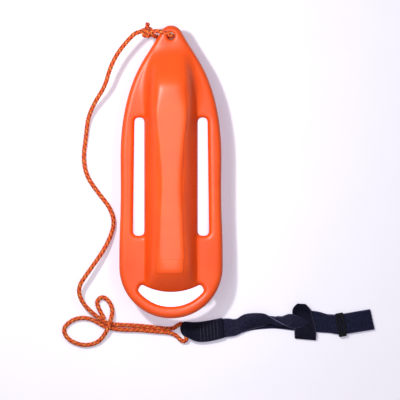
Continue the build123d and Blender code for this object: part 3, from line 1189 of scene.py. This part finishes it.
# %% Lower leg and far fold
LOWER_LEG = [
    flat_row((62, -372, 3.6), (62, -412, 3.6)),
    flat_row((100, -366, 3), (104, -413, 3)),
    flat_row((130, -362, 1.4), (134, -406, 1.4)),
    flat_row((160, -362, 1.2), (160, -402, 1.2)),
    flat_row((190, -354, 1.2), (190, -390.5, 1.2)),
    flat_row((218, -352, 1.2), (219, -387, 1.2)),
    flat_row((248, -354, 1.2), (250, -384.6, 1.2)),
    flat_row((270, -357, 1.4), (270, -386.6, 1.4)),
    flat_row((290, -352, 3), (291, -389, 3)),
    flat_row((306, -345, 4.4), (306, -391, 4.4)),
    flat_row((330, -341, 4.4), (330, -391, 4.4)),
    flat_row((347, -341, 4.2), (347, -393, 4.2)),
    flat_row((362, -342.5, 3.6), (361, -395, 3.6), 1),
    flat_row((376, -347, 3.4), (377, -396, 3.4), 2),
    flat_row((391, -351.8, 4.2), (391, -396.5, 4.0), 1),
    flat_row((401, -350, 5.6), (405, -399.5, 5.4)),
    flat_row((412, -350.6, 6), (419, -400.8, 6)),
    flat_row((427, -347.6, 6), (435, -398.6, 6)),
    flat_row((445, -344.4, 6), (454, -395.4, 6)),
    flat_row((466, -340.8, 6), (475, -392, 6)),
    flat_row((484, -338, 5.8), (495, -389, 5.8)),
    flat_row((491.5, -337, 4.6), (503, -387.6, 4.6)),
    flat_row((484, -338, 3.2), (495, -389, 3.2)),
    flat_row((466, -340.8, 3.2), (475, -392, 3.2)),
    flat_row((445, -344.4, 3.2), (454, -395.4, 3.2)),
    flat_row((427, -347.6, 3.2), (435, -398.6, 3.2)),
    flat_row((408, -350.6, 2.8), (414, -400.8, 2.8)),
    flat_row((392, -350, 1.2), (394, -396, 1.2)),
    flat_row((372, -348, 1.2), (373, -392, 1.2)),
]
lower_leg, lower_length = strip("strap_lower_leg", "shoulder_strap", LOWER_LEG, flat_webbing)

# %% [markdown]
# ## The strap's end eye
# One end of the webbing wraps the rope, gathered to less than its width, and is sewn down
# over both legs. It is a strip of its own, because it is the only length that goes round
# the rope, and its lean bulges the fold outwards as the rope does.

# %% End eye
END_EYE = [
    flat_row((118, -364.5, 1.3), (122, -410, 1.3)),
    flat_row((80, -370, 1.3), (80, -415, 1.3), 0.3),
    flat_row((56, -370, 1.5), (56, -412, 1.6), 1),
    ((43, -369, 2.4), (40, -386, 3), (45, -405, 2.4)),
    ((34, -370, 3.4), (26, -384, 3), (36, -402, 3.4)),
    ((30, -371, 8), (17, -383, 8), (30, -401, 8)),
    ((29, -370, 13.5), (16, -382, 13.5), (29, -402, 13.5)),
    ((32, -367.5, 18.6), (24, -384, 20), (33, -404, 18.6)),
    flat_row((39, -367.5, 18.4), (41, -408, 18.2), -3),
    flat_row((52, -369, 15), (53, -415, 14.6), -4),
    flat_row((64, -368.6, 12.6), (65, -419, 12.2), -1),
    flat_row((80, -367, 11.4), (83, -419.4, 11.2)),
    flat_row((102, -363, 11.2), (106, -415.6, 11.2)),
    flat_row((122, -359, 11.4), (127, -409.6, 11.4)),
    flat_row((127, -358.4, 10.6), (132, -408.4, 10.6)),
]
end_eye, eye_length = strip("strap_end_eye", "shoulder_strap", END_EYE, shaded_webbing)

# %% [markdown]
# ## The keeper
# A short band of the same webbing is wrapped across the strap, under the upper leg's tip.
# Its lower end lies flat as a tab, and its upper end stands up in an arch. It is one strip
# that closes on itself, because two flat pieces would leave the arch without its hollow.

# %% Keeper band
KEEPER = [
    flat_row((304, -352, 1.3), (352, -352, 1.3)),
    flat_row((304, -380, 1.3), (356, -380, 1.3)),
    flat_row((304, -404, 1.3), (357, -408, 1.3)),
    flat_row((304, -410.5, 3.2), (357, -415, 3.2)),
    flat_row((303.5, -408, 6.2), (357, -413, 6.2)),
    flat_row((303, -398, 7.2), (358, -402, 7.2)),
    flat_row((303, -388, 7.4), (358, -388, 7.4)),
    flat_row((304, -374, 7.0), (354, -374, 7.0)),
    flat_row((302, -362, 6.6), (350, -364, 6.6), -1),
    flat_row((298, -350, 8), (348, -350, 8), -4),
    flat_row((297, -341, 12), (345, -342, 12), -8),
    flat_row((301, -332, 16), (340, -334, 16), -6),
    flat_row((308, -325.5, 17.5), (333, -327, 17.5), 1),
    flat_row((311, -323.6, 15), (331, -325, 15), 2),
    flat_row((308, -325.5, 8), (334, -327, 8), 1),
    flat_row((305, -336, 2), (344, -338, 2)),
    flat_row((304, -349, 1.3), (352, -349, 1.3)),
]
keeper, keeper_length = strip("strap_keeper_band", "strap_keeper", KEEPER, shaded_webbing)

# %% [markdown]

# %% [markdown]
# ## The slider
# The flat black slider that sets the strap's length keeps its imported frame and windows,
# because they are already right. It is moulded acetal: dense and slightly waxy, with a fine
# spark-eroded texture, so its dark sheen is broken up and a noise in its bump is enough.

# %% Slider material
SPARK_GRAIN = 1.5 * MM  # real texture is near 0.1 mm, drawn coarser so that it shows

acetal, acetal_tree, acetal_shader = new_material(
    "moulded_acetal_black", {"IOR": 1.48, "Specular IOR Level": 0.22}
)
acetal_place = add_node(acetal_tree, "ShaderNodeTexCoord")
acetal_grain = add_node(
    acetal_tree,
    "ShaderNodeTexNoise",
    {"Scale": 1 / SPARK_GRAIN, "Detail": 2.0},
    {"Vector": acetal_place.outputs["Object"]},
)
acetal_colour = add_node(
    acetal_tree, "ShaderNodeValToRGB", links={"Fac": acetal_grain.outputs["Fac"]}
)
acetal_colour.color_ramp.elements[0].color = linear("#040406")
acetal_colour.color_ramp.elements[1].color = linear("#0E0E12")
acetal_rough = add_node(
    acetal_tree,
    "ShaderNodeMapRange",
    {"To Min": 0.35, "To Max": 0.55},
    {"Value": acetal_grain.outputs["Fac"]},
)
acetal_bump = add_node(
    acetal_tree,
    "ShaderNodeBump",
    {"Strength": 0.4, "Distance": 0.1 * MM},
    {"Height": acetal_grain.outputs["Fac"]},
)
acetal_tree.links.new(acetal_colour.outputs["Color"], acetal_shader.inputs["Base Color"])
acetal_tree.links.new(acetal_rough.outputs["Result"], acetal_shader.inputs["Roughness"])
acetal_tree.links.new(acetal_bump.outputs["Normal"], acetal_shader.inputs["Normal"])
finish_node("strap_slider", acetal)

# %% [markdown]
# ## Stitching
# The eye is sewn down with bonded polyester thread: rows of short lock stitches across the
# webbing, each stitch a small raised lump that dips into the cloth at both ends. One stitch
# is a squashed sphere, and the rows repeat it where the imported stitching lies.

# %% Thread material
PLY_TWIST = 1.2 * MM
thread, thread_tree, thread_shader = new_material(
    "bonded_polyester_thread", {"IOR": 1.5, "Roughness": 0.5, "Sheen Weight": 0.2}
)
thread_place = add_node(thread_tree, "ShaderNodeTexCoord")
thread_twist = add_node(
    thread_tree,
    "ShaderNodeTexNoise",
    {"Scale": 1 / PLY_TWIST, "Detail": 2.0},
    {"Vector": thread_place.outputs["Object"]},
)
thread_colour = add_node(
    thread_tree, "ShaderNodeValToRGB", links={"Fac": thread_twist.outputs["Fac"]}
)
thread_colour.color_ramp.elements[0].color = linear("#101020")
thread_colour.color_ramp.elements[1].color = linear("#3C3C5C")
thread_tree.links.new(thread_colour.outputs["Color"], thread_shader.inputs["Base Color"])
print("thread material ready")

# %% Stitches
ROWS = 6
ROW_FIRST = Vector((74, -415, 12.7)) * MM
ROW_LAST = Vector((116, -409, 12.7)) * MM
ROW_RUN = Vector((-3.4, 44, 0)) * MM  # from the lower edge of the webbing to the upper
STITCHES = 11
STITCH_SIZE = Vector((1.7, 3.4, 1.0)) * MM

size = Matrix.Diagonal((*STITCH_SIZE, 1))
lean = Matrix.Rotation(math.atan2(-ROW_RUN.x, ROW_RUN.y), 4, "Z")
stitch_form = bmesh.new()
for row in range(ROWS):
    foot = ROW_FIRST.lerp(ROW_LAST, row / (ROWS - 1))
    for number in range(STITCHES):
        spot = foot + ROW_RUN * (number + 0.5) / STITCHES
        bmesh.ops.create_uvsphere(
            stitch_form,
            u_segments=8,
            v_segments=5,
            radius=0.5,
            matrix=Matrix.Translation(spot) @ lean @ size,
        )
stitches = new_piece("eye_stitches", stitch_form, thread)
hand_over(stitches, "strap_stitching", "strap")
print(ROWS * STITCHES, "stitches sewn")
